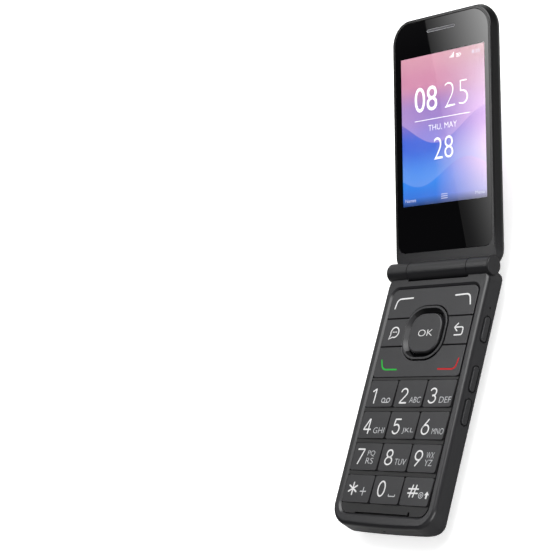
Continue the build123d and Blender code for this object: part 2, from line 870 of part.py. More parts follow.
def window_outline(grow=0.0):
    return Pos(0, window_near + window_length / 2) * \
        RectangleRounded(window_width + 2 * grow, window_length + 2 * grow, window_corner + grow)


def lid_bezel():
    """The lid's inner frame, with the middle stretch of the hinge barrel."""
    body = lid_block() & block(-phone_width, phone_width, -phone_width, phone_length, lid_split, lid_rim)
    body -= knuckle_room()
    body += rod(barrel_radius, -middle_barrel / 2, middle_barrel / 2)
    body -= lid_room(ledge_back)
    body -= plate(glass_outline(slip / 2), glass_back - seam, lid_rim + 1)
    body -= block(-module_half - slip, module_half + slip, module_near - slip, module_far + slip,
                  lid_split - 1, lid_rim)
    body -= plate(grille_outline(0.3), lid_split, lid_rim)
    for x, y in lid_screw_places():
        body -= post(screw_radius + slip / 2, x, y, lid_split, lid_rim)
        body -= post(screw_head + slip / 2, x, y, glass_back - seam - ledge_thickness / 2, lid_rim)
    body -= rod(hinge_bore, -middle_barrel / 2 - 1, cam_end + running_gap)
    body -= rod(hinge_bore, middle_barrel / 2 - pin_depth, middle_barrel / 2 + 1)
    return lid_place * body


def lid_cover():
    """The lid's outer shell, with the openings for window and camera."""
    body = lid_block() & block(-phone_width, phone_width, -phone_width, phone_length,
                               lid_outer, lid_split - seam)
    body -= lid_room(lid_rim)
    body -= knuckle_room()
    body -= rod(barrel_radius + seam, -middle_barrel / 2 - 1, middle_barrel / 2 + 1)
    for x, y in lid_screw_places():
        tower = post(boss_radius, x, y, lid_outer + lid_skin / 2, ledge_back - seam)
        body += tower - post(screw_radius, x, y, lid_outer + lid_skin, lid_rim)
    body -= plate(window_outline(slip / 2), lid_outer - 1, window_back)
    body -= block(-outer_module_half - slip, outer_module_half + slip,
                  outer_screen_near - outer_module_border - slip + 0.3,
                  outer_screen_near + outer_screen_length + outer_module_border + slip - 0.3,
                  lid_outer, lid_outer + 2 * lid_skin)
    body -= plate(camera_outline(slip / 2), lid_outer - 1, lid_outer + 2 * lid_skin)
    half = camera_body / 2 + slip
    body -= block(-half, half, camera_place - half, camera_place + half, lid_outer + lid_skin, lid_split)
    return lid_place * body


def main_window():
    glass = soften_top(plate(glass_outline(), glass_back, glass_top), 0.2)
    return lid_place * (glass - plate(grille_outline(slip / 2), glass_back - 1, glass_top + 1))


def earpiece_grille():
    return lid_place * plate(grille_outline(), glass_back, glass_top - 0.1)


def main_screen():
    return lid_place * block(-module_half, module_half, module_near, module_far,
                             screen_top - screen_thickness, screen_top)


def outer_window():
    glass = soften_bottom(plate(window_outline(), lid_outer, window_back - seam), 0.2)
    return lid_place * glass


def outer_screen():
    return lid_place * block(-outer_module_half + 0.3, outer_module_half - 0.3,
                             outer_screen_near - outer_module_border + 0.3,
                             outer_screen_near + outer_screen_length + outer_module_border - 0.3,
                             window_back, window_back + outer_module_thickness)


def camera_ring():
    ring = camera_outline() - camera_outline(-camera_ring_band)
    body = plate(ring, lid_outer - camera_stand, lid_outer + lid_skin)
    return lid_place * soften_bottom(body, 0.2)


def camera_window():
    return lid_place * plate(camera_outline(-camera_ring_band - seam), lid_outer + 0.1, lid_outer + lid_skin - 0.2)


def camera_module():
    top = lid_outer + lid_skin + camera_depth
    half = camera_body / 2
    body = block(-half, half, camera_place - half, camera_place + half, lid_outer + lid_skin + seam, top)
    return lid_place * (body + post(lens_radius, 0, camera_place, lid_outer + lid_skin - 0.15, top))


def earpiece():
    half = grille_width / 2 + 0.5
    body = block(-half, half, earpiece_place - earpiece_length / 2, earpiece_place + earpiece_length / 2 - 0.4,
                 ledge_back - seam - earpiece_thickness, ledge_back - seam)
    return lid_place * fillet(body.edges().filter_by(Axis.Z), 1.2)


def vibration_motor():
    low = lid_outer + lid_skin + seam
    x = lid_width / 2 - motor_side
    return lid_place * post(motor_radius, x, motor_place, low, low + motor_thickness)


def lid_magnet():
    x = magnet_side - lid_width / 2
    top = ledge_back - seam
    return lid_place * block(x - magnet_size / 2, x + magnet_size / 2, motor_place - magnet_size / 2,
                             motor_place + magnet_size / 2, top - magnet_size / 2, top)


def lid_board():
    top = screen_top - screen_thickness - seam
    return lid_place * block(-lid_board_width / 2, lid_board_width / 2, lid_board_near, lid_board_far,
                             top - lid_board_thickness, top)


def lid_screws():
    """Four screws under the edge of the main window."""
    seat = glass_back - seam - ledge_thickness / 2
    screws = []
    for x, y in lid_screw_places():
        head = post(screw_head, x, y, seat, glass_back - 2 * seam)
        screws.append(head + post(screw_radius, x, y, lid_outer + lid_skin + wall, seat))
    return lid_place * Compound(children=screws)


# ---- write every piece ----

def nav_pieces():
    half = phone_width
    low = down(phone_length)
    high = hinge_y
    inner_top = down(nav_top_line)
    inner_foot = down(nav_foot_line)
    gap = nav_gap / 2
    return {
        "softkey_bar": nav_piece(-half, half, inner_top + gap, high, rocker_flange),
        "call_bar": nav_piece(-half, half, low, inner_foot - gap, rocker_flange),
        "message_key": nav_piece(-half, 0, inner_foot + gap, inner_top - gap, flange_thickness),
        "back_key": nav_piece(0, half, inner_foot + gap, inner_top - gap, flange_thickness),
    }


key_names = (("1", "2", "3"), ("4", "5", "6"), ("7", "8", "9"), ("star", "0", "hash"))


def all_pieces():
    pieces = {
        "top_case": top_case(),
        "rear_case": rear_case(),
        "battery_cover": battery_cover(),
        "keypad_plate": keypad_plate(),
        "nav_ring": nav_ring(),
        "nav_pivot": nav_pivot(),
        "ok_key": ok_key(),
        "main_board": main_board(),
        "dome_sheet": dome_sheet(),
        "keypad_mat": keypad_mat(),
        "shield_cans": shield_cans(),
        "battery": battery(),
        "battery_contacts": battery_contacts(),
        "loudspeaker": loudspeaker(),
        "antenna": antenna(),
        "usb_socket": usb_socket(),
        "headset_jack": headset_jack(),
        "microphone": microphone(),
        "switch_boards": switch_boards(),
        "side_key_top": side_key(0),
        "volume_up_key": side_key(1),
        "volume_down_key": side_key(2),
        "case_screws": case_screws(),
        "hinge_end_caps": hinge_end_caps(),
        "hinge_cam_shaft": hinge_cam_shaft(),
        "hinge_spring_case": hinge_spring_case(),
        "hinge_spring": hinge_spring(),
        "hinge_pin": hinge_pin(),
        "hinge_flex": hinge_flex(),
        "lid_bezel": lid_bezel(),
        "lid_cover": lid_cover(),
        "main_window": main_window(),
        "main_screen": main_screen(),
        "earpiece_grille": earpiece_grille(),
        "outer_window": outer_window(),
        "outer_screen": outer_screen(),
        "camera_ring": camera_ring(),
        "camera_window": camera_window(),
        "camera_module": camera_module(),
        "earpiece": earpiece(),
        "vibration_motor": vibration_motor(),
        "lid_magnet": lid_magnet(),
        "lid_board": lid_board(),
        "lid_screws": lid_screws(),
    }
    pieces.update(nav_pieces())
    for row, names in enumerate(key_names):
        for column, name in enumerate(names):
            pieces["key_" + name] = number_key(row, column)
    return pieces


os.makedirs("parts", exist_ok=True)
for name, solid in all_pieces().items():
    export_step(solid, f"parts/{name}.step")
print("wrote the pieces")
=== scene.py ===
import math

import bmesh
import bpy
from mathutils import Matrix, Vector
from mathutils.bvhtree import BVHTree


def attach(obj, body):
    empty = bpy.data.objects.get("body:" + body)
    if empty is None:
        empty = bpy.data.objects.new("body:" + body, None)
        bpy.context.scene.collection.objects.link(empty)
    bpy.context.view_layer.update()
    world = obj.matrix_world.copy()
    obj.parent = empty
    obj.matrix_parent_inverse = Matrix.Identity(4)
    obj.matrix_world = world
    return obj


# A flip phone with its lid open. Lengths are in millimetres here and become metres in mesh data.
# X is the phone's right, Y runs from the keypad's foot to the hinge, Z is up from the back.

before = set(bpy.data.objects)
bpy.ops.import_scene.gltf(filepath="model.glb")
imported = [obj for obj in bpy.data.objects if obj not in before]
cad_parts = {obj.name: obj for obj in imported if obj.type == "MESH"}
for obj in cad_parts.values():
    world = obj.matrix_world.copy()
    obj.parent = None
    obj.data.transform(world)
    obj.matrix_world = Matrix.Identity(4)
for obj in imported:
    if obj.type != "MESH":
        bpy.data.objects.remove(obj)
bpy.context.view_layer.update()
print("frame loaded")

phone = {
    "hingeY": 48.8,
    "hingeZ": 11.6,
    "lidTilt": 20.5,          # degrees that the open lid leans up
    "innerScreen": -2.48,     # the screens' faces, up from the hinge's axis square to the lid
    "outerScreen": -6.56,
}


def metres(*values):
    return [value / 1000 for value in values]


# The Y of a place that is so far from the hinge towards the keypad's foot
def down(distance):
    return phone["hingeY"] - distance


# A place on the open lid: across it, out from the hinge along it, and up from it
def lidPoint(x, along, height):
    angle = math.radians(phone["lidTilt"])
    y = phone["hingeY"] + along * math.cos(angle) - height * math.sin(angle)
    z = phone["hingeZ"] + along * math.sin(angle) + height * math.cos(angle)
    return Vector(metres(x, y, z))


def fromHex(text):
    values = [int(text[i:i + 2], 16) / 255 for i in (1, 3, 5)]
    linear = [v / 12.92 if v <= 0.04045 else ((v + 0.055) / 1.055) ** 2.4 for v in values]
    return (*linear, 1.0)


# The Scale of a pattern whose features are so many millimetres across
def perMetre(size):
    return 1000 / size


# Inputs are values, sockets, or nodes that give their first output in use.
# A Mix of colours takes its factor at 0 and its colours at 6 and 7. A MapRange takes its value at 0,
# the range that it reads at 1 and 2, and the range that it gives at 3 and 4.
def addNode(tree, kind, inputs, **settings):
    node = tree.nodes.new("ShaderNode" + kind)
    for name, value in settings.items():
        setattr(node, name, value)
    for socket, value in inputs.items():
        if isinstance(value, bpy.types.Node):
            value = next(output for output in value.outputs if output.enabled)
        if isinstance(value, bpy.types.NodeSocket):
            tree.links.new(value, node.inputs[socket])
        else:
            node.inputs[socket].default_value = value
    return node


def startMaterial(name):
    material = bpy.data.materials.new(name)
    material.use_nodes = True
    tree = material.node_tree
    tree.nodes.clear()
    place = addNode(tree, "TexCoord", {}).outputs["Object"]
    return material, tree, place


def coat(material, look):
    tree = material.node_tree
    surface = addNode(tree, "BsdfPrincipled", look)
    addNode(tree, "OutputMaterial", {"Surface": surface})
    return material


# Sockets X across the lid, Y out from the hinge and Z up from its axis, in metres
def lidDirections(tree, place):
    shifted = addNode(tree, "VectorMath", {
        0: place, 1: metres(0, phone["hingeY"], phone["hingeZ"])}, operation="SUBTRACT")
    turned = addNode(tree, "VectorRotate", {
        "Vector": shifted, "Angle": -math.radians(phone["lidTilt"])}, rotation_type="X_AXIS")
    return addNode(tree, "SeparateXYZ", {0: turned}).outputs


# How far a place is from the line where two directions are nought
def distanceFrom(tree, first, second):
    across = addNode(tree, "CombineXYZ", {0: first, 1: second})
    return addNode(tree, "VectorMath", {0: across}, operation="LENGTH")


# 1 between two limits in millimetres, 0 outside
def inside(tree, value, low, high):
    above = addNode(tree, "Math", {0: value, 1: low / 1000}, operation="GREATER_THAN")
    below = addNode(tree, "Math", {0: value, 1: high / 1000}, operation="LESS_THAN")
    return addNode(tree, "Math", {0: above, 1: below}, operation="MULTIPLY")


# The values that a noise pattern mostly takes, as the range that a MapRange reads
noiseRange = {1: 0.3, 2: 0.7}


def setStops(node, stops):
    ramp = node.color_ramp
    ramp.interpolation = "EASE"
    for element, (position, colour) in zip(ramp.elements, (stops[0], stops[-1])):
        element.position = position
        element.color = fromHex(colour)
    for position, colour in stops[1:-1]:
        ramp.elements.new(position).color = fromHex(colour)


moulding = {
    "patchSize": 14,
    "patchRough": (-0.03, 0.04),      # how far the patches change the roughness
}


# Moulded plastic with a fine grain and wide patches of a second, slightly duller shade
def texturedPlastic(name, colour, patchColour, rough, grainSize, grainDepth):
    material, tree, place = startMaterial(name)
    fine = addNode(tree, "TexNoise", {"Vector": place, "Scale": perMetre(grainSize), "Detail": 3})
    wide = addNode(tree, "TexNoise", {"Vector": place, "Scale": perMetre(moulding["patchSize"]), "Detail": 3})
    patches = addNode(tree, "MapRange", {0: wide, **noiseRange})
    smoother, duller = moulding["patchRough"]
    return coat(material, {
        "Base Color": addNode(tree, "Mix", {
            0: patches, 6: fromHex(colour), 7: fromHex(patchColour)}, data_type="RGBA"),
        "Roughness": addNode(tree, "MapRange", {
            0: wide, **noiseRange, 3: rough + smoother, 4: rough + duller}),
        "Normal": addNode(tree, "Bump", {"Height": fine, "Distance": grainDepth / 1000}),
    })


polish = {
    "rippleSize": 9,
    "rippleDepth": 0.004,
    "smudgeSize": 22,
    "smudgeRange": (0.45, 0.75),      # values of the noise where a smudge starts and is full
    "smudgeRough": 0.05,
    "coat": 0.15,
    "coatRough": 0.03,
}


# Polished plastic under a thin clear coat, with a slow ripple and wide smudges
def glossPlastic(name, colour, rough):
    material, tree, place = startMaterial(name)
    ripple = addNode(tree, "TexNoise", {"Vector": place, "Scale": perMetre(polish["rippleSize"]), "Detail": 1})
    smudge = addNode(tree, "TexNoise", {"Vector": place, "Scale": perMetre(polish["smudgeSize"]), "Detail": 4})
    start, full = polish["smudgeRange"]
    return coat(material, {
        "Base Color": fromHex(colour),
        "Roughness": addNode(tree, "MapRange", {
            0: smudge, 1: start, 2: full, 3: rough, 4: rough + polish["smudgeRough"]}),
        "Normal": addNode(tree, "Bump", {"Height": ripple, "Distance": polish["rippleDepth"] / 1000}),
        "Coat Weight": polish["coat"],
        "Coat Roughness": polish["coatRough"],
    })


paint = {
    "grainSize": 0.14,
    "grainDepth": 0.004,
    "barrelColour": "#1c1c1e",
    "barrelRough": 0.3,
}


# Painted plastic, darker on the hinge barrel. It takes its own finish between two distances
# from the hinge's axis
def paintedPlastic(name, colour, rough, start, end):
    material, tree, place = startMaterial(name)
    lid = lidDirections(tree, place)
    reach = distanceFrom(tree, lid["Y"], lid["Z"])
    far = addNode(tree, "MapRange", {0: reach, 1: start / 1000, 2: end / 1000})
    fine = addNode(tree, "TexNoise", {"Vector": place, "Scale": perMetre(paint["grainSize"]), "Detail": 3})
    return coat(material, {
        "Base Color": addNode(tree, "Mix", {
            0: far, 6: fromHex(paint["barrelColour"]), 7: fromHex(colour)}, data_type="RGBA"),
        "Roughness": addNode(tree, "MapRange", {0: far, 3: paint["barrelRough"], 4: rough}),
        "Normal": addNode(tree, "Bump", {"Height": fine, "Distance": paint["grainDepth"] / 1000}),
    })


tarnish = {
    "colour": "#7c7c7e",
    "size": 6,
    "strength": 0.35,
    "lineDepth": 0.004,
    "lineRough": (-0.06, 0.1),        # how far the lines change the roughness
}


# Metal with fine lines and wide grey stains. stretch draws the lines out along an axis
def metal(name, colour, rough, lineSize, stretch=(1, 1, 1)):
    material, tree, place = startMaterial(name)
    drawn = addNode(tree, "VectorMath", {0: place, 1: stretch}, operation="MULTIPLY")
    lines = addNode(tree, "TexNoise", {"Vector": drawn, "Scale": perMetre(lineSize), "Detail": 3})
    wide = addNode(tree, "TexNoise", {"Vector": place, "Scale": perMetre(tarnish["size"]), "Detail": 3})
    stains = addNode(tree, "MapRange", {0: wide, **noiseRange, 3: 0, 4: tarnish["strength"]})
    smoother, duller = tarnish["lineRough"]
    return coat(material, {
        "Base Color": addNode(tree, "Mix", {
            0: stains, 6: fromHex(colour), 7: fromHex(tarnish["colour"])}, data_type="RGBA"),
        "Metallic": 1.0,
        "Roughness": addNode(tree, "MapRange", {
            0: lines, **noiseRange, 3: rough + smoother, 4: rough + duller}),
        "Normal": addNode(tree, "Bump", {"Height": lines, "Distance": tarnish["lineDepth"] / 1000}),
    })


ink = {
    "mottleSize": 0.35,
    "mottleDepth": 0.006,
    "rough": (0.4, 0.53),
    "specular": 0.2,
}


# Matt ink, mottled by the plastic under it
def printInk(name, colour):
    material, tree, place = startMaterial(name)
    mottle = addNode(tree, "TexNoise", {"Vector": place, "Scale": perMetre(ink["mottleSize"]), "Detail": 3})
    smooth, dull = ink["rough"]
    return coat(material, {
        "Base Color": fromHex(colour),
        "Roughness": addNode(tree, "MapRange", {0: mottle, **noiseRange, 3: smooth, 4: dull}),
        "Specular IOR Level": ink["specular"],
        "Normal": addNode(tree, "Bump", {"Height": mottle, "Distance": ink["mottleDepth"] / 1000}),
    })


def litInk(name, colour, glow):
    material = startMaterial(name)[0]
    return coat(material, {
        "Base Color": fromHex("#000000"), "Emission Color": fromHex(colour), "Emission Strength": glow})


lens = {
    "middle": 9.1,            # out from the hinge
    "reach": 2.6,
    "rings": ((0.0, "#123033"), (0.26, "#0a1416"), (0.36, "#3a4a4a"), (0.44, "#08090a"),
              (0.8, "#08090a"), (0.88, "#39434a"), (0.98, "#040405")),
    "smudgeSize": 5,
    "smudgeRange": (0.4, 0.8),
    "rough": (0.02, 0.05),
}


# Black glass with the faint rings of a lens behind it
def lensFinish():
    material, tree, place = startMaterial("dark camera glass")
    lid = lidDirections(tree, place)
    along = addNode(tree, "Math", {0: lid["Y"], 1: lens["middle"] / 1000}, operation="SUBTRACT")
    reach = distanceFrom(tree, lid["X"], along)
    rings = addNode(tree, "ValToRGB", {0: addNode(tree, "MapRange", {0: reach, 2: lens["reach"] / 1000})})
    setStops(rings, lens["rings"])
    smudge = addNode(tree, "TexNoise", {"Vector": place, "Scale": perMetre(lens["smudgeSize"]), "Detail": 3})
    start, full = lens["smudgeRange"]
    clean, smudged = lens["rough"]
    return coat(material, {
        "Base Color": rings,
        "Roughness": addNode(tree, "MapRange", {0: smudge, 1: start, 2: full, 3: clean, 4: smudged}),
    })


earpiece = {
    "middle": 92.25,          # out from the hinge
    "halfLength": 6.8,
    "halfWidth": 0.33,
    "hole": 0.35,
    "threadRange": (0.2, 0.5),        # values of the pattern where a thread starts and is full
    "holeColour": "#0a0a0b",
    "threadColour": "#4a4a4d",
    "frameColour": "#8e8e91",
    "metallic": (1.0, 0.4),           # of the frame and of the painted mesh
    "rough": 0.35,
}


# A dark woven mesh in a thin bright frame
def grilleFinish():
    material, tree, place = startMaterial("earpiece mesh and frame")
    lid = lidDirections(tree, place)
    long, wide = earpiece["halfLength"], earpiece["halfWidth"]
    mesh = addNode(tree, "Math", {
        0: inside(tree, lid["X"], -long, long),
        1: inside(tree, lid["Y"], earpiece["middle"] - wide, earpiece["middle"] + wide),
    }, operation="MULTIPLY")
    holes = addNode(tree, "TexVoronoi", {"Vector": place, "Scale": perMetre(earpiece["hole"])})
    start, full = earpiece["threadRange"]
    frameMetal, meshMetal = earpiece["metallic"]
    threads = addNode(tree, "MapRange", {0: holes, 1: start, 2: full})
    weave = addNode(tree, "Mix", {
        0: threads, 6: fromHex(earpiece["holeColour"]), 7: fromHex(earpiece["threadColour"])}, data_type="RGBA")
    return coat(material, {
        "Base Color": addNode(tree, "Mix", {
            0: mesh, 6: fromHex(earpiece["frameColour"]), 7: weave}, data_type="RGBA"),
        "Metallic": addNode(tree, "MapRange", {0: mesh, 3: frameMetal, 4: meshMetal}),
        "Roughness": earpiece["rough"],
    })


ring = {
    "middle": 25.8,           # from the hinge towards the foot
    "topStart": 12.82,        # what is lower than this above the back is a slope
    "topColour": "#242426",
    "topRough": 0.38,
    # The slopes' colours are painted light: a little darker at the sides, a painted shade, and near black at the
    # ends, a painted dark reflection
    "sidePaintedShade": "#1e1e20",
    "sideRough": 0.34,
    "endPaintedReflection": "#030304",
    "endRough": 0.1,
    "grainSize": 0.12,
    "grainDepth": 0.003,
}


# Satin key plastic whose slopes are polished. The slopes are painted a little darker than the top, a painted
# shade, and blackest above and below the middle key, a painted dark reflection
def ringFinish():
    material, tree, place = startMaterial("navigation ring plastic")
    spot = addNode(tree, "SeparateXYZ", {0: place}).outputs
    y = addNode(tree, "Math", {0: spot["Y"], 1: down(ring["middle"]) / 1000}, operation="SUBTRACT")
    y = addNode(tree, "Math", {0: y}, operation="ABSOLUTE")
    x = addNode(tree, "Math", {0: spot["X"]}, operation="ABSOLUTE")
    # Above and below the middle key, where the slope takes a painted dark reflection
    ends = addNode(tree, "Math", {0: y, 1: x}, operation="GREATER_THAN")
    slope = addNode(tree, "Math", {0: spot["Z"], 1: ring["topStart"] / 1000}, operation="LESS_THAN")
    paintedSlopeColour = addNode(tree, "Mix", {
        0: ends, 6: fromHex(ring["sidePaintedShade"]), 7: fromHex(ring["endPaintedReflection"])}, data_type="RGBA")
    slopeRough = addNode(tree, "MapRange", {0: ends, 3: ring["sideRough"], 4: ring["endRough"]})
    fine = addNode(tree, "TexNoise", {"Vector": place, "Scale": perMetre(ring["grainSize"]), "Detail": 3})
    return coat(material, {
        "Base Color": addNode(tree, "Mix", {
            0: slope, 6: fromHex(ring["topColour"]), 7: paintedSlopeColour}, data_type="RGBA"),
        "Roughness": addNode(tree, "MapRange", {0: slope, 3: ring["topRough"], 4: slopeRough}),
        "Normal": addNode(tree, "Bump", {"Height": fine, "Distance": ring["grainDepth"] / 1000}),
    })


# across and along are where a picture starts and ends, across the lid and out from the hinge.
# clear is the part of the glass without black print: its half width, its near and its far edge
innerPicture = {
    "across": (-21.6, 21.6),
    "along": (25.66, 83.26),
    "clear": (21.75, 25.5, 83.4),
    "glow": 1.0,
}

outerPicture = {
    "across": (-12, 12),
    "along": (62.0, 35.6),
    "clear": (12.1, 35.5, 62.1),
    "glow": 1.0,
}

wallpaper = {
    "leftColours": ((0.0, "#2f72e0"), (0.18, "#2488f6"), (0.42, "#4168e2"), (0.62, "#9676cc"),
                    (0.82, "#dc90b2"), (1.0, "#e3a0b6")),
    "rightColours": ((0.0, "#b9b4e6"), (0.3, "#efc9ef"), (0.55, "#bd84d6"), (0.8, "#ad6a9e"),
                     (1.0, "#a05468")),
    "rightStart": 0.4,        # shares of the picture's width and height, here and below
    "waveEdge": 0.006,
    "swells": (
        {"height": 0.5, "rise": 0.1, "turns": 0.8, "phase": 2.6, "reach": 0.3, "strength": 0.34,
         "colour": "#f4c8f0"},
        {"height": 0.2, "rise": -0.08, "turns": 0.9, "phase": 0.4, "reach": 0.22, "strength": 0.3,
         "colour": "#9fc0fb"},
    ),
    # A painted shadow that darkens the picture towards its foot
    "footPaintedShadow": {"reach": 0.055, "strength": 0.75, "colour": "#10141f"},
}


glass = {
    "borderColour": "#050506",
    "smudgeSize": 18,
    "smudgeRange": (0.5, 0.8),
    "smudgeRough": 0.035,
    "refraction": 1.5,
}


# Glass printed black behind its border and clear over the screen
def maskedGlass(name, picture):
    material, tree, place = startMaterial(name)
    lid = lidDirections(tree, place)
    half, near, far = picture["clear"]
    clear = addNode(tree, "Math", {
        0: inside(tree, lid["X"], -half, half), 1: inside(tree, lid["Y"], near, far)}, operation="MULTIPLY")
    smudge = addNode(tree, "TexNoise", {"Vector": place, "Scale": perMetre(glass["smudgeSize"]), "Detail": 4})
    start, full = glass["smudgeRange"]
    return coat(material, {
        "Base Color": addNode(tree, "Mix", {
            0: clear, 6: fromHex(glass["borderColour"]), 7: fromHex("#ffffff")}, data_type="RGBA"),
        "Transmission Weight": clear,
        "Roughness": addNode(tree, "MapRange", {0: smudge, 1: start, 2: full, 3: 0, 4: glass["smudgeRough"]}),
        "IOR": glass["refraction"],
    })


# Strength of a veil that starts at a wavy line across the picture and fades upwards
def swellStrength(tree, u, v, swell):
    phase = swell["phase"]
    angle = addNode(tree, "MapRange", {0: u, 3: phase, 4: phase + swell["turns"] * 2 * math.pi})
    wave = addNode(tree, "Math", {0: angle}, operation="SINE")
    line = addNode(tree, "Math", {0: wave, 1: swell["rise"], 2: swell["height"]}, operation="MULTIPLY_ADD")
    over = addNode(tree, "Math", {0: v, 1: line}, operation="SUBTRACT")
    start = addNode(tree, "MapRange", {0: over, 2: wallpaper["waveEdge"]})
    fade = addNode(tree, "MapRange", {0: over, 2: swell["reach"], 3: swell["strength"], 4: 0})
    return addNode(tree, "Math", {0: start, 1: fade}, operation="MULTIPLY")


# The lit wallpaper, pink over blue with two soft crossing waves, and a painted shadow that darkens its foot
def glowingPicture(name, picture):
    material, tree, place = startMaterial(name)
    lid = lidDirections(tree, place)
    left, right = metres(*picture["across"])
    foot, top = metres(*picture["along"])
    u = addNode(tree, "MapRange", {0: lid["X"], 1: left, 2: right})
    v = addNode(tree, "MapRange", {0: lid["Y"], 1: foot, 2: top})
    leftFade = addNode(tree, "ValToRGB", {0: v})
    setStops(leftFade, wallpaper["leftColours"])
    rightFade = addNode(tree, "ValToRGB", {0: v})
    setStops(rightFade, wallpaper["rightColours"])
    sideways = addNode(tree, "MapRange", {0: u, 1: wallpaper["rightStart"]})
    colour = addNode(tree, "Mix", {0: sideways, 6: leftFade, 7: rightFade}, data_type="RGBA")
    for swell in wallpaper["swells"]:
        veil = swellStrength(tree, u, v, swell)
        colour = addNode(tree, "Mix", {0: veil, 6: colour, 7: fromHex(swell["colour"])}, data_type="RGBA")
    # Painted shadow, darkest at the picture's foot and fading up it
    shade = wallpaper["footPaintedShadow"]
    dark = addNode(tree, "MapRange", {0: v, 2: shade["reach"], 3: shade["strength"], 4: 0})
    colour = addNode(tree, "Mix", {0: dark, 6: colour, 7: fromHex(shade["colour"])}, data_type="RGBA")
    return coat(material, {
        "Base Color": fromHex("#000000"),
        "Roughness": 0.3,
        "Emission Color": colour,
        "Emission Strength": picture["glow"],
    })


# The grains are drawn a little coarser than real ones, which wouldn't show
finishes = {
    # Painted ABS, soft dark grey with a grain that breaks up the light
    "case": paintedPlastic("painted case plastic", "#222224", rough=0.28, start=5.9, end=7.0),
    # Moulded ABS, duller and darker than the keys that stand in it
    "plate": texturedPlastic("matt plate plastic", "#131314", "#111112",
                             rough=0.5, grainSize=0.12, grainDepth=0.004),
    # Painted polycarbonate, a touch lighter than the plate, so that the keys read as their own pieces
    "key": texturedPlastic("painted key plastic", "#262628", "#232325",
                           rough=0.38, grainSize=0.12, grainDepth=0.004),
    # Painted ABS round the inner glass. Its slow fade from the barrel's grey to nearly as black as the glass
    # away from the barrel is a painted dark reflection
    "bezel": paintedPlastic("painted lid plastic", "#060607", rough=0.22, start=3.7, end=17.0),
    # Polished ABS under lacquer, a piano black that mirrors the room
    "shell": glossPlastic("polished black shell", "#0a0a0b", rough=0.05),
    # Satin and polished polycarbonate, with painted shade in the dip round the middle key and a painted dark
    # reflection above and below it
    "ring": ringFinish(),
    # Screen printed inks, matt and flat on the keys
    "digit": printInk("white key print", "#cfcfcf"),
    "letter": printInk("grey key print", "#b2b3b5"),
    "mark": printInk("white mark print", "#cecece"),
    "call": printInk("green mark print", "#1fa234"),
    "end": printInk("red mark print", "#ac0c15"),
    # Hardened glass, clear over the picture and mirror black round it
    "mainGlass": maskedGlass("inner window glass", innerPicture),
    "outerGlass": maskedGlass("outer window glass", outerPicture),
    # Tinted acrylic that lets a hint of the lens through
    "cameraGlass": lensFinish(),
    # Liquid crystal screens, lit from behind
    "picture": glowingPicture("inner screen picture", innerPicture),
    "outerPicture": glowingPicture("outer screen picture", outerPicture),
    "litWhite": litInk("lit white figures", "#ffffff", glow=1.3),
    "litSoft": litInk("dim lit figures", "#d5d9ee", glow=1.0),
    # Black film round a lit screen, smooth but not a mirror
    "screenEdge": glossPlastic("screen module edge", "#101013", rough=0.25),
    # Steel mesh in a stamped frame, a fine bright line on the black glass
    "grille": grilleFinish(),
    # Chromium plate, the brightest trim of the phone
    "chrome": metal("chromed camera ring", "#b9babd", rough=0.14, lineSize=0.3),
    # Turned steel, with lines round its axis along X
    "steel": metal("turned steel", "#a8a9ac", rough=0.3, lineSize=0.08, stretch=(0.05, 1, 1)),
    # Tin plate, greyer and duller than the steel
    "can": metal("tinned shield steel", "#9b9da0", rough=0.38, lineSize=0.6),
    # Epoxy glass board under green lacquer
    "board": texturedPlastic("green circuit board", "#0f4a2c", "#0c3e25",
                             rough=0.4, grainSize=0.3, grainDepth=0.01),
    # Cast silicone rubber, cloudy and soft
    "mat": texturedPlastic("clear grey silicone", "#a7a8aa", "#9c9d9f",
                           rough=0.55, grainSize=0.2, grainDepth=0.006),
    # Polyester film, smooth and white
    "film": texturedPlastic("white dome film", "#dfe0dc", "#d4d5d1",
                            rough=0.35, grainSize=0.5, grainDepth=0.004),
    # Shrunk label film, pale and slightly shiny
    "wrap": texturedPlastic("pale battery wrap", "#c9cacc", "#bfc0c2",
                            rough=0.42, grainSize=0.25, grainDepth=0.004),
    # Polyimide film, orange brown over its copper
    "amber": texturedPlastic("amber flexible film", "#8a5418", "#7b4a14",
                             rough=0.3, grainSize=0.4, grainDepth=0.004),
    # Glass filled nylon, dull black
    "resin": texturedPlastic("black moulded resin", "#18181a", "#151517",
                             rough=0.5, grainSize=0.1, grainDepth=0.006),
}

keyRows = (("1", "2", "3"), ("4", "5", "6"), ("7", "8", "9"), ("star", "0", "hash"))

cadFinishes = {
    "case": ("top_case", "rear_case", "battery_cover", "hinge_end_caps"),
    "plate": ("keypad_plate",),
    "key": ("message_key", "back_key", "softkey_bar", "call_bar", "ok_key", "side_key_top",
            "volume_up_key", "volume_down_key", *("key_" + name for row in keyRows for name in row)),
    "ring": ("nav_ring",),
    "bezel": ("lid_bezel",),
    "shell": ("lid_cover",),
    "mainGlass": ("main_window",),
    "outerGlass": ("outer_window",),
    "cameraGlass": ("camera_window",),
    "screenEdge": ("main_screen", "outer_screen"),
    "grille": ("earpiece_grille",),
    "chrome": ("camera_ring",),
    "steel": ("hinge_cam_shaft", "hinge_spring_case", "hinge_spring", "hinge_pin", "case_screws",
              "lid_screws", "lid_magnet", "vibration_motor", "nav_pivot"),
    "can": ("shield_cans", "usb_socket", "earpiece"),
    "board": ("main_board", "lid_board", "switch_boards"),
    "mat": ("keypad_mat",),
    "film": ("dome_sheet",),
    "wrap": ("battery",),
    "amber": ("hinge_flex", "antenna"),
    "resin": ("loudspeaker", "microphone", "battery_contacts", "headset_jack", "camera_module"),
}

for finish, nodes in cadFinishes.items():
    for node in nodes:
        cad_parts[node].data.materials.clear()
        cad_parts[node].data.materials.append(finishes[finish])
print("finishes on the CAD pieces")


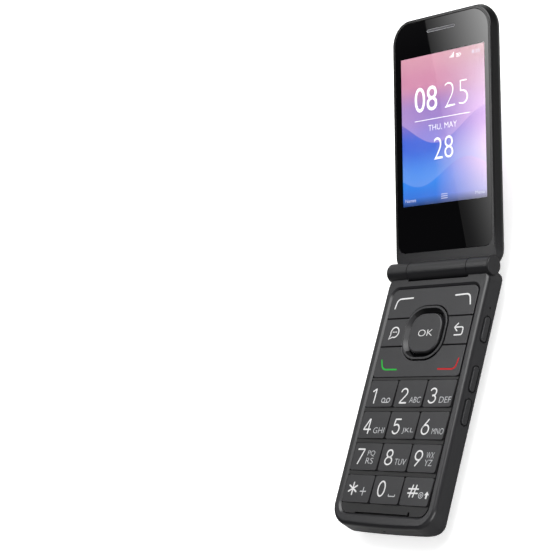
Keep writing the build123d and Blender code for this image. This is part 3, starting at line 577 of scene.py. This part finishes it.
# Points of an oval stretch between two angles, in degrees
def arc(x, y, wide, high, start, end, steps=14):
    angles = [math.radians(start + (end - start) * k / steps) for k in range(steps + 1)]
    return [Vector((x + wide * math.cos(a), y + high * math.sin(a))) for a in angles]


def circle(x, y, radius, steps=28):
    return arc(x, y, radius, radius, 0, 360, steps)[:-1]


endSteps = 8                  # sides of a stroke's round end


# The outline of a stroke with round ends, as faces in the plane
def ribbon(points, width, closed=False):
    points = [Vector(point) for point in points]
    count = len(points)
    half = width / 2
    sides = []
    for i, point in enumerate(points):
        before = points[i - 1] if i or closed else point
        after = points[(i + 1) % count] if i < count - 1 or closed else point
        way = (after - before).normalized()
        across = Vector((-way.y, way.x)) * half
        sides.append((point + across, point - across))
    faces = []
    for i in range(count if closed else count - 1):
        a, b = sides[i]
        c, d = sides[(i + 1) % count]
        faces.append((a, b, d, c))
    if not closed:
        for centre, other in ((points[0], points[1]), (points[-1], points[-2])):
            away = centre - other
            start = math.degrees(math.atan2(away.y, away.x)) - 90
            faces.append(tuple(arc(centre.x, centre.y, half, half, start, start + 180, endSteps)))
    return faces


# A line through the points with its inner corners rounded
def rounded(points, radius, steps=6):
    points = [Vector(point) for point in points]
    line = [points[0]]
    for before, corner, after in zip(points, points[1:], points[2:]):
        first = corner + (before - corner).normalized() * radius
        second = corner + (after - corner).normalized() * radius
        for k in range(steps + 1):
            t = k / steps
            line.append(first * (1 - t) ** 2 + corner * 2 * t * (1 - t) + second * t ** 2)
    line.append(points[-1])
    return line


# The same line with points no farther apart than a step, so that it follows a crowned key
def divided(points, step):
    line = [points[0]]
    for first, second in zip(points, points[1:]):
        count = max(1, math.ceil((second - first).length / step))
        line += [first.lerp(second, k / count) for k in range(1, count + 1)]
    return line


# Strokes from side to side through one point
def crossed(x, y, reach, angles, width):
    middle = Vector((x, y))
    faces = []
    for angle in angles:
        way = Vector((math.cos(math.radians(angle)), math.sin(math.radians(angle)))) * reach
        faces += ribbon([middle - way, middle + way], width)
    return faces


def rectangle(x0, x1, y0, y1):
    return [(Vector((x0, y0)), Vector((x1, y0)), Vector((x1, y1)), Vector((x0, y1)))]


# Letters as flat faces, fitted to a height and a width
def textFaces(words, left, base, height, width, thinning=0.0):
    curve = bpy.data.curves.new("words", "FONT")
    curve.body = words
    curve.resolution_u = 6
    curve.offset = -thinning
    holder = bpy.data.objects.new("words", curve)
    bpy.context.collection.objects.link(holder)
    bpy.context.view_layer.update()
    mesh = bpy.data.meshes.new_from_object(holder.evaluated_get(bpy.context.evaluated_depsgraph_get()))
    bpy.data.objects.remove(holder)
    xs = [v.co.x for v in mesh.vertices]
    ys = [v.co.y for v in mesh.vertices]
    tall = height / (max(ys) - min(ys))
    wide = width / (max(xs) - min(xs))
    spots = [Vector((left + (x - min(xs)) * wide, base + (y - min(ys)) * tall)) for x, y in zip(xs, ys)]
    faces = [tuple(spots[i] for i in polygon.vertices) for polygon in mesh.polygons]
    bpy.data.meshes.remove(mesh)
    return faces


# One mesh from (faces, finish) pairs that looks along up, each point put in space by place(x, y)
def flatPiece(name, parts, place, up, body):
    build = bmesh.new()
    used = []
    for faces, finish in parts:
        if finish not in used:
            used.append(finish)
        for face in faces:
            made = build.faces.new([build.verts.new(place(x, y)) for x, y in face])
            made.material_index = used.index(finish)
    bmesh.ops.remove_doubles(build, verts=build.verts, dist=1e-7)
    bmesh.ops.triangulate(build, faces=build.faces)
    build.normal_update()
    bmesh.ops.reverse_faces(build, faces=[face for face in build.faces if face.normal.dot(up) < 0])
    mesh = bpy.data.meshes.new(name)
    build.to_mesh(mesh)
    build.free()
    for finish in used:
        mesh.materials.append(finishes[finish])
    piece = bpy.data.objects.new(name, mesh)
    bpy.context.collection.objects.link(piece)
    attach(piece, body)


keypad = {
    "baselines": (53.4, 65.3, 77.1, 89.0),      # from the hinge towards the foot
    "digitLefts": (-19.7, -4.7, 9.9),
    "digitHeight": 5.6,
    "digitWidth": 3.7,
    "digitStroke": 0.58,
    "strokeStep": 0.6,
    "letterLefts": (-14.25, 0.55, 15.4),
    "letterHeight": 2.3,
    "letterWidth": 1.9,                         # of one letter
    "letterThinning": 0.01,
    "upperLetters": 2.85,                       # how far the upper of two rows stands above the lower
    "printLift": 0.012,
    "clearOfKeys": 20,
}


# Print that lies on top of a CAD key and moves with it
def printOnKey(name, parts, node):
    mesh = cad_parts[node].data
    surface = BVHTree.FromPolygons([v.co for v in mesh.vertices], [p.vertices for p in mesh.polygons])

    def onKey(x, y):
        above = Vector(metres(x, y, keypad["clearOfKeys"]))
        hit = surface.ray_cast(above, Vector((0, 0, -1)))[0]
        return Vector((above.x, above.y, hit.z + keypad["printLift"] / 1000))

    flatPiece(name, parts, onKey, Vector((0, 0, 1)), node)


letters = {
    "2": ("ABC",), "3": ("DEF",), "4": ("GHI",), "5": ("JKL",), "6": ("MNO",),
    "7": ("RS", "PQ"), "8": ("TUV",), "9": ("YZ", "WX"),
}

# Strokes of each digit in a box one wide and one high
digitStrokes = {
    "0": [arc(0.5, 0.5, 0.46, 0.5, 90, 450, 32)],
    "1": [[(0.1, 0.83), (0.52, 1.0), (0.52, 0.0)]],
    "2": [arc(0.48, 0.72, 0.42, 0.28, 165, -30) + [(0.05, 0.0), (0.97, 0.0)]],
    "3": [arc(0.45, 0.745, 0.4, 0.255, 150, -90), arc(0.45, 0.265, 0.47, 0.265, 90, -155)],
    "4": [[(0.99, 0.27), (0.02, 0.27), (0.66, 1.0), (0.72, 1.0), (0.72, 0.0)]],
    "5": [[(0.88, 1.0), (0.2, 1.0), (0.13, 0.55)] + arc(0.47, 0.32, 0.45, 0.32, 120, -150)],
    "6": [[(0.72, 1.0)] + arc(0.5, 0.31, 0.46, 0.31, 155, 515, 28)],
    "7": [[(0.05, 1.0), (0.95, 1.0), (0.35, 0.0)]],
    "8": [arc(0.5, 0.755, 0.38, 0.245, -90, 270, 26), arc(0.5, 0.255, 0.46, 0.255, 90, 450, 26)],
    "9": [arc(0.5, 0.69, 0.46, 0.31, -25, 335, 28)[::-1] + [(0.28, 0.0)]],
}

# Signs of the keys. up is from the row's baseline to the middle or the foot of the sign
signs = {
    "star": {"x": -17.5, "up": 2.35, "reach": 2.3, "angles": (90, 150, 210), "width": 0.6},
    "plus": {"x": -11.85, "up": 1.4, "reach": 1.45, "angles": (0, 90), "width": 0.4},
    "tape": {"left": -13.85, "up": 1.0, "reels": (1.0, 3.6), "radius": 0.85, "barDrop": 0.88, "width": 0.34},
    "space": {"left": 1.5, "right": 4.7, "low": 0.1, "high": 0.75, "corner": 0.2, "width": 0.34},
    "hash": {"left": 10.7, "up": 0.4, "long": 4.7, "high": 4.3, "posts": (1.05, 2.8), "lean": 0.8,
             "bars": (1.35, 2.95), "width": 0.55},
    "target": {"x": 17.3, "up": 1.1, "rings": ((1.05, 0.3), (0.35, 0.25))},
    "arrow": {"x": 20.1, "up": -0.1, "headHalf": 1.15, "headBase": 1.35, "stemHalf": 0.4, "stemTop": 1.36,
              "high": 2.7},
}


def digitFaces(digit, base, column):
    left = keypad["digitLefts"][column]
    faces = []
    for stroke in digitStrokes[digit]:
        points = [Vector((left + x * keypad["digitWidth"], base + y * keypad["digitHeight"])) for x, y in stroke]
        faces += ribbon(divided(points, keypad["strokeStep"]), keypad["digitStroke"])
    return faces


def letterFaces(rows, base, column):
    faces = []
    for row, words in enumerate(rows):
        faces += textFaces(words, keypad["letterLefts"][column], base + row * keypad["upperLetters"],
                           keypad["letterHeight"], keypad["letterWidth"] * len(words), keypad["letterThinning"])
    return faces


def crossSign(sign, base):
    return crossed(sign["x"], base + sign["up"], sign["reach"], sign["angles"], sign["width"])


# Two reels joined along the bottom
def tapeSign(sign, base):
    first, second = [sign["left"] + reel for reel in sign["reels"]]
    middle = base + sign["up"]
    low = middle - sign["barDrop"]
    faces = ribbon([(first, low), (second, low)], sign["width"])
    for x in (first, second):
        faces += ribbon(circle(x, middle, sign["radius"]), sign["width"], True)
    return faces


# A space mark, a low bar with its ends turned up
def spaceSign(sign, base):
    low, high = base + sign["low"], base + sign["high"]
    line = [(sign["left"], high), (sign["left"], low), (sign["right"], low), (sign["right"], high)]
    return ribbon(rounded(line, sign["corner"]), sign["width"])


def hashSign(sign, base):
    left, foot = sign["left"], base + sign["up"]
    faces = []
    for post in sign["posts"]:
        faces += ribbon([(left + post, foot), (left + post + sign["lean"], foot + sign["high"])], sign["width"])
    for bar in sign["bars"]:
        faces += ribbon([(left, foot + bar), (left + sign["long"], foot + bar)], sign["width"])
    return faces


def targetSign(sign, base):
    faces = []
    for radius, width in sign["rings"]:
        faces += ribbon(circle(sign["x"], base + sign["up"], radius), width, True)
    return faces


def arrowSign(sign, base):
    x, foot = sign["x"], base + sign["up"]
    head = ((x - sign["headHalf"], foot + sign["headBase"]), (x + sign["headHalf"], foot + sign["headBase"]),
            (x, foot + sign["high"]))
    return [head] + rectangle(x - sign["stemHalf"], x + sign["stemHalf"], foot, foot + sign["stemTop"])


# (faces, finish) pairs of one key's print
def keyPrint(name, base, column):
    if name == "star":
        return [(crossSign(signs["star"], base), "digit"), (crossSign(signs["plus"], base), "letter")]
    if name == "hash":
        return [(hashSign(signs["hash"], base), "digit"), (targetSign(signs["target"], base), "letter"),
                (arrowSign(signs["arrow"], base), "digit")]
    if name == "0":
        small = spaceSign(signs["space"], base)
    elif name == "1":
        small = tapeSign(signs["tape"], base)
    else:
        small = letterFaces(letters[name], base, column)
    return [(digitFaces(name, base, column), "digit"), (small, "letter")]


for row, names in enumerate(keyRows):
    for column, name in enumerate(names):
        printOnKey("print_" + name, keyPrint(name, down(keypad["baselines"][row]), column), "key_" + name)
print("print on the number keys")

# Each mark is a line of (x, distance from the hinge towards the foot)
navigation = {
    "markWidth": 0.6,
    "markCorner": 1.9,
    "leftSoftkey": ((-18.9, 15.3), (-18.3, 11.5), (-10.5, 11.3)),
    "rightSoftkey": ((11.2, 11.3), (18.2, 11.0), (19.4, 15.2)),
    "call": ((-19.1, 36.3), (-17.6, 40.1), (-10.3, 40.2)),
    "end": ((10.9, 40.3), (19.2, 40.5), (20.0, 36.4)),
    "iconWidth": 0.5,
}

bubble = {
    "x": -15.8,
    "y": 25.1,
    "radius": 2.05,
    "angles": (250, 562),     # where its outline starts and ends
    "steps": 26,
    "tailEnd": (-18.3, 27.8),
    "dotY": 25.0,
    "dotShifts": (-0.85, 0, 0.85),
    "dotRadius": 0.27,
    "dotSteps": 12,
}

backArrow = {
    "shaft": ((14.4, 24.15), (18.7, 24.15), (18.7, 27.2), (15.0, 27.2)),
    "corner": 1.0,
    "head": ((15.9, 22.7), (14.3, 24.15), (15.9, 25.6)),
}

okWord = {
    "left": -3.15,
    "base": 27.25,
    "height": 2.6,
    "width": 7.3,
    "thinning": 0.012,
}


def fromHinge(points):
    return [(x, down(y)) for x, y in points]


def cornerMark(name):
    line = rounded(fromHinge(navigation[name]), navigation["markCorner"])
    return ribbon(line, navigation["markWidth"])


# A speech bubble with three dots
def bubbleFaces():
    x, y, radius = bubble["x"], down(bubble["y"]), bubble["radius"]
    outline = arc(x, y, radius, radius, *bubble["angles"], bubble["steps"])
    tail = [outline[-1], *fromHinge([bubble["tailEnd"]]), outline[0]]
    faces = ribbon(outline, navigation["iconWidth"]) + ribbon(tail, navigation["iconWidth"])
    for shift in bubble["dotShifts"]:
        faces.append(circle(x + shift, down(bubble["dotY"]), bubble["dotRadius"], bubble["dotSteps"]))
    return faces


def backFaces():
    shaft = rounded(fromHinge(backArrow["shaft"]), backArrow["corner"])
    return ribbon(shaft, navigation["iconWidth"]) + ribbon(fromHinge(backArrow["head"]), navigation["iconWidth"])


def okFaces():
    return textFaces("OK", okWord["left"], down(okWord["base"]), okWord["height"], okWord["width"],
                     okWord["thinning"])


printOnKey("softkey_marks", [(cornerMark("leftSoftkey") + cornerMark("rightSoftkey"), "mark")], "softkey_bar")
printOnKey("call_marks", [(cornerMark("call"), "call"), (cornerMark("end"), "end")], "call_bar")
printOnKey("message_icon", [(bubbleFaces(), "mark")], "message_key")
printOnKey("back_icon", [(backFaces(), "mark")], "back_key")
printOnKey("ok_print", [(okFaces(), "mark")], "ok_key")
print("marks on the navigation keys")

# Words are (text, left, base, height, width) on the screen, and how much thinner their strokes are
innerFigures = {
    "white": (
        ("08", -14.6, 61.5, 9.6, 11.8),
        ("25", 1.0, 61.5, 9.6, 11.8, 0.028),
        ("THU, MAY", -7.6, 53.4, 2.6, 14.6, 0.01),
        ("28", -4.9, 42.4, 8.4, 9.8, 0.014),
    ),
    "soft": (
        ("8:25", 15.2, 80.2, 1.2, 3.9),
        ("Names", -20.4, 27.2, 1.3, 5.6),
        ("Menu", 15.6, 27.2, 1.3, 4.6),
    ),
    "rule": {"left": -14.6, "right": 13.6, "height": 58.2, "width": 0.28},
    "signal": {"left": 4.0, "base": 80.2, "bars": 4, "step": 0.6, "width": 0.35, "rise": 0.5},
    "battery": {"left": 7.4, "base": 80.2, "width": 1.9, "height": 1.1},
    "menu": {"half": 1.5, "base": 27.3, "bars": 3, "step": 0.8, "width": 0.3},
}

# Upright as seen from outside, where up is towards the hinge
outerFigures = {
    "white": (
        ("08", -9.6, -51.6, 6.8, 8.4),
        ("25", 1.0, -51.6, 6.8, 8.4, 0.026),
        ("THU, MAY 28", -7.4, -56.4, 2.0, 14.2, 0.008),
    ),
    "battery": {"left": 7.4, "base": -38.6, "width": 2.2, "height": 1.4},
}

# Line, gap round the charge, how full it is, and the stub at the end, its inset a share of the height
batteryShape = {
    "line": 0.25,
    "inset": 0.35,
    "charge": 0.7,
    "stub": (0.15, 0.5),
    "stubInset": 0.3,
}

figureLift = 0.012            # the figures lie in front of the picture


def wordFaces(words):
    return [face for word in words for face in textFaces(*word)]


# Four bars that grow to the right
def signalSign(sign):
    faces = []
    for k in range(sign["bars"]):
        left = sign["left"] + k * sign["step"]
        faces += rectangle(left, left + sign["width"], sign["base"], sign["base"] + (k + 1) * sign["rise"])
    return faces


# An outline with a bar inside it and a stub at its end
def batterySign(sign):
    left, right = sign["left"], sign["left"] + sign["width"]
    low, high = sign["base"], sign["base"] + sign["height"]
    inset = batteryShape["inset"]
    charged = left + batteryShape["charge"] * sign["width"]
    stubStart, stubEnd = batteryShape["stub"]
    stubInset = batteryShape["stubInset"] * sign["height"]
    return (ribbon([(left, low), (right, low), (right, high), (left, high)], batteryShape["line"], True)
            + rectangle(left + inset, charged, low + inset, high - inset)
            + rectangle(right + stubStart, right + stubEnd, low + stubInset, high - stubInset))


def makeInnerScreen():
    up = lidPoint(0, 0, 1) - lidPoint(0, 0, 0)

    def onPicture(x, along):
        return lidPoint(x, along, phone["innerScreen"])

    def onFigures(x, along):
        return lidPoint(x, along, phone["innerScreen"] + figureLift)

    area = rectangle(*innerPicture["across"], *innerPicture["along"])
    flatPiece("inner_picture", [(area, "picture")], onPicture, up, "lid")
    rule, menu = innerFigures["rule"], innerFigures["menu"]
    white = wordFaces(innerFigures["white"])
    white += ribbon([(rule["left"], rule["height"]), (rule["right"], rule["height"])], rule["width"])
    white += signalSign(innerFigures["signal"]) + batterySign(innerFigures["battery"])
    soft = wordFaces(innerFigures["soft"])
    for k in range(menu["bars"]):
        height = menu["base"] + k * menu["step"]
        soft += ribbon([(-menu["half"], height), (menu["half"], height)], menu["width"])
    flatPiece("inner_figures", [(white, "litWhite"), (soft, "litSoft")], onFigures, up, "lid")


def makeOuterScreen():
    outward = lidPoint(0, 0, -1) - lidPoint(0, 0, 0)

    def onPicture(x, up):
        return lidPoint(x, -up, phone["outerScreen"])

    def onFigures(x, up):
        return lidPoint(x, -up, phone["outerScreen"] - figureLift)

    foot, top = outerPicture["along"]
    area = rectangle(*outerPicture["across"], -foot, -top)
    flatPiece("outer_picture", [(area, "outerPicture")], onPicture, outward, "lid")
    white = wordFaces(outerFigures["white"]) + batterySign(outerFigures["battery"])
    flatPiece("outer_figures", [(white, "litWhite")], onFigures, outward, "lid")


makeInnerScreen()
makeOuterScreen()
print("screens")

ground = {
    "half": 3000,
    "gap": 0.02,              # below the phone's back
    "colour": "#f6f6f6",
    "bounce": "#a0a0a0",      # what the phone sees of it
    "glow": 0.55,
    "mottleSize": 40,
    "rough": (0.5, 0.6),
}


def makeFloor():
    build = bmesh.new()
    bmesh.ops.create_grid(build, x_segments=1, y_segments=1, size=ground["half"] / 1000)
    bmesh.ops.translate(build, verts=build.verts, vec=(0, 0, -ground["gap"] / 1000))
    mesh = bpy.data.meshes.new("floor")
    build.to_mesh(mesh)
    build.free()
    material, tree, place = startMaterial("white studio floor")
    seen = addNode(tree, "LightPath", {}).outputs["Is Camera Ray"]
    mottle = addNode(tree, "TexNoise", {"Vector": place, "Scale": perMetre(ground["mottleSize"]), "Detail": 3})
    smooth, dull = ground["rough"]
    mesh.materials.append(coat(material, {
        "Base Color": addNode(tree, "Mix", {
            0: seen, 6: fromHex(ground["bounce"]), 7: fromHex(ground["colour"])}, data_type="RGBA"),
        "Roughness": addNode(tree, "MapRange", {0: mottle, **noiseRange, 3: smooth, 4: dull}),
        "Emission Color": fromHex("#ffffff"),
        "Emission Strength": addNode(tree, "MapRange", {0: seen, 3: 0, 4: ground["glow"]}),
    }))
    floor = bpy.data.objects.new("floor", mesh)
    bpy.context.collection.objects.link(floor)


lamps = {
    "overhead light": {"position": (60, 300, 400), "target": (0, 20, 10), "size": (450, 450), "power": 3.0},
    "fill light": {"position": (600, -330, 300), "target": (0, 0, 10), "size": (500, 400), "power": 2.7},
}


def addLamp(name, values):
    data = bpy.data.lights.new(name, "AREA")
    data.shape = "RECTANGLE"
    data.size, data.size_y = metres(*values["size"])
    data.energy = values["power"]
    lamp = bpy.data.objects.new(name, data)
    lamp.location = metres(*values["position"])
    way = Vector(metres(*values["target"])) - lamp.location
    lamp.rotation_euler = way.to_track_quat("-Z", "Y").to_euler()
    bpy.context.collection.objects.link(lamp)


# heights are where the sky's light starts to rise and is full. The other two ranges say the same of
# the dark and the bright patch, as the cosine of the angle from the patch's middle
sky = {
    "horizonLight": 0.06,
    "topLight": 0.42,
    "heights": (0.05, 0.6),
    "darkSide": (-0.69, -0.1, 0.72),      # what the inner glass mirrors
    "darkLight": 0.02,
    "darkRange": (0.55, 0.9),
    "glowSide": (-0.62, 0.55, 0.56),      # what the level faces mirror
    "glowLight": 0.6,
    "glowRange": (0.8, 0.97),
}


# Soft light from above, darker where the glass would mirror it into the camera
def makeWorld():
    world = bpy.data.worlds.new("studio")
    bpy.context.scene.world = world
    world.use_nodes = True
    tree = world.node_tree
    tree.nodes.clear()
    way = addNode(tree, "TexCoord", {}).outputs["Generated"]
    height = addNode(tree, "SeparateXYZ", {0: way}).outputs["Z"]
    low, high = sky["heights"]
    light = addNode(tree, "MapRange", {0: height, 1: low, 2: high, 3: sky["horizonLight"], 4: sky["topLight"]})
    near, full = sky["darkRange"]
    towards = addNode(tree, "VectorMath", {0: way, 1: sky["darkSide"]}, operation="DOT_PRODUCT")
    light = addNode(tree, "MapRange", {0: towards, 1: near, 2: full, 3: light, 4: sky["darkLight"]})
    near, full = sky["glowRange"]
    towards = addNode(tree, "VectorMath", {0: way, 1: sky["glowSide"]}, operation="DOT_PRODUCT")
    glow = addNode(tree, "MapRange", {0: towards, 1: near, 2: full, 3: 0, 4: sky["glowLight"]})
    light = addNode(tree, "Math", {0: light, 1: glow}, operation="ADD")
    seen = addNode(tree, "LightPath", {}).outputs["Is Camera Ray"]
    strength = addNode(tree, "Mix", {0: seen, 2: light, 3: 1.0})
    shade = addNode(tree, "Background", {"Color": fromHex("#ffffff"), "Strength": strength})
    addNode(tree, "OutputWorld", {"Surface": shade})


glowPanel = {
    "height": 450,
    "corners": ((-399, -130), (-285, -130), (-285, 260), (-358, 260)),
    "fade": (-388, -318),     # where along X its light starts and is full
    "curve": 1.8,
    "glow": (0.2, 6.6),
}


# A hanging panel whose left edge draws the slanting line of light on the inner glass
def makePanel():
    build = bmesh.new()
    corners = [build.verts.new(metres(x, y, glowPanel["height"])) for x, y in glowPanel["corners"]]
    build.faces.new(reversed(corners))
    mesh = bpy.data.meshes.new("panel")
    build.to_mesh(mesh)
    build.free()
    material, tree, place = startMaterial("graded light panel")
    x = addNode(tree, "SeparateXYZ", {0: place}).outputs["X"]
    start, full = metres(*glowPanel["fade"])
    low, high = glowPanel["glow"]
    rise = addNode(tree, "MapRange", {0: x, 1: start, 2: full})
    rise = addNode(tree, "Math", {0: rise, 1: glowPanel["curve"]}, operation="POWER")
    mesh.materials.append(coat(material, {
        "Base Color": fromHex("#000000"),
        "Emission Color": fromHex("#ffffff"),
        "Emission Strength": addNode(tree, "MapRange", {0: rise, 3: low, 4: high}),
    }))
    panel = bpy.data.objects.new("panel", mesh)
    bpy.context.collection.objects.link(panel)
    panel.visible_camera = False


cameraPlace = {
    "position": (412.718, -148.635, 413.388),
    "turn": (32.81209, 44.96925, 20.87651),     # degrees about X, Y and Z
    "lens": 103.5517,
    "sensor": 36,
}


def makeCamera():
    data = bpy.data.cameras.new("camera")
    data.lens = cameraPlace["lens"]
    data.sensor_width = cameraPlace["sensor"]
    camera = bpy.data.objects.new("camera", data)
    camera.location = metres(*cameraPlace["position"])
    camera.rotation_euler = [math.radians(angle) for angle in cameraPlace["turn"]]
    bpy.context.collection.objects.link(camera)
    bpy.context.scene.camera = camera
    bpy.context.scene.view_settings.view_transform = "Standard"


makeFloor()
for name, values in lamps.items():
    addLamp(name, values)
makePanel()
makeWorld()
makeCamera()
print("studio")
